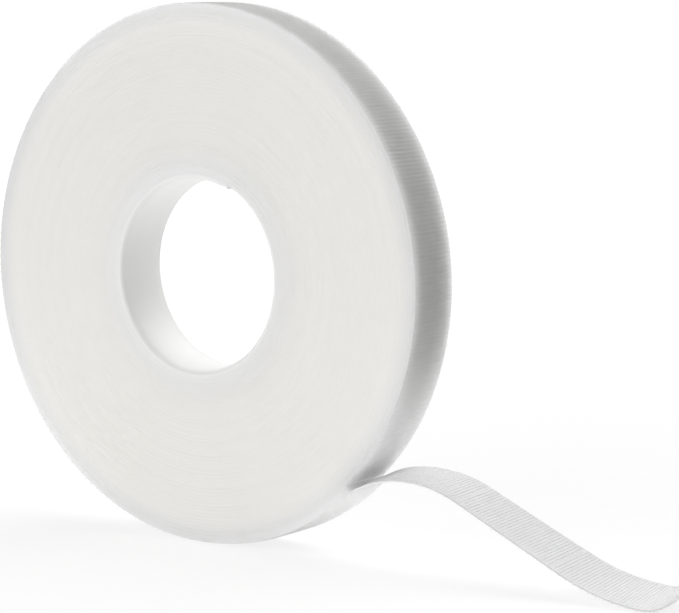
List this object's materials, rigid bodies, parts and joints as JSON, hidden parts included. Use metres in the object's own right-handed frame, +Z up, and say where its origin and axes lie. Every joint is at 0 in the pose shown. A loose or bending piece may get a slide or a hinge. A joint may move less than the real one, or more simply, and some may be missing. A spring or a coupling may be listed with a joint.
{
  "type": "hook and loop tape roll",
  "caption": "White back-to-back hook and loop tape wound on a thin core, standing on its rim, with the free end arched over a hump and lying on the floor.",
  "frame": {"origin": "on the floor, in the middle of the flat that the roll stands on, straight under the roll's axis", "axes": "+Z up, +Y along the roll's axis towards its rear face, +X the way the tail runs out"},
  "size_m": [0.3441, 0.025, 0.22],
  "materials": {
    "core_board": "smooth white",
    "tape_edges": "wound tape edges, creamy white",
    "loop_side": "low white loops in fine cross ribs",
    "hook_side": "white hooks in cross rows"
  },
  "bodies": {
    "roll": {"core": "core_board", "inner_turns": "tape_edges", "outer_turns_loop_ply": "loop_side", "outer_turns_hook_ply": "hook_side"},
    "tail_near": {"tail_near_loop_ply": "loop_side", "tail_near_hook_ply": "hook_side"},
    "tail_middle": {"tail_middle_loop_ply": "loop_side", "tail_middle_hook_ply": "hook_side"},
    "tail_end": {"tail_end_loop_ply": "loop_side", "tail_end_hook_ply": "hook_side"}
  },
  "joints": [
    {"name": "tail_lift", "type": "hinge", "parent": "roll", "child": "tail_near", "pos_m": [0.10308, 0, 0.03672], "axis": [0, -1, 0], "range_deg": [0, 50]},
    {"name": "tail_bend", "type": "hinge", "parent": "tail_near", "child": "tail_middle", "pos_m": [0.14703, 0, 0.02176], "axis": [0, -1, 0], "range_deg": [0, 35]},
    {"name": "tail_end_bend", "type": "hinge", "parent": "tail_middle", "child": "tail_end", "pos_m": [0.19018, 0, 0.0036], "axis": [0, -1, 0], "range_deg": [0, 35]}
  ]
}
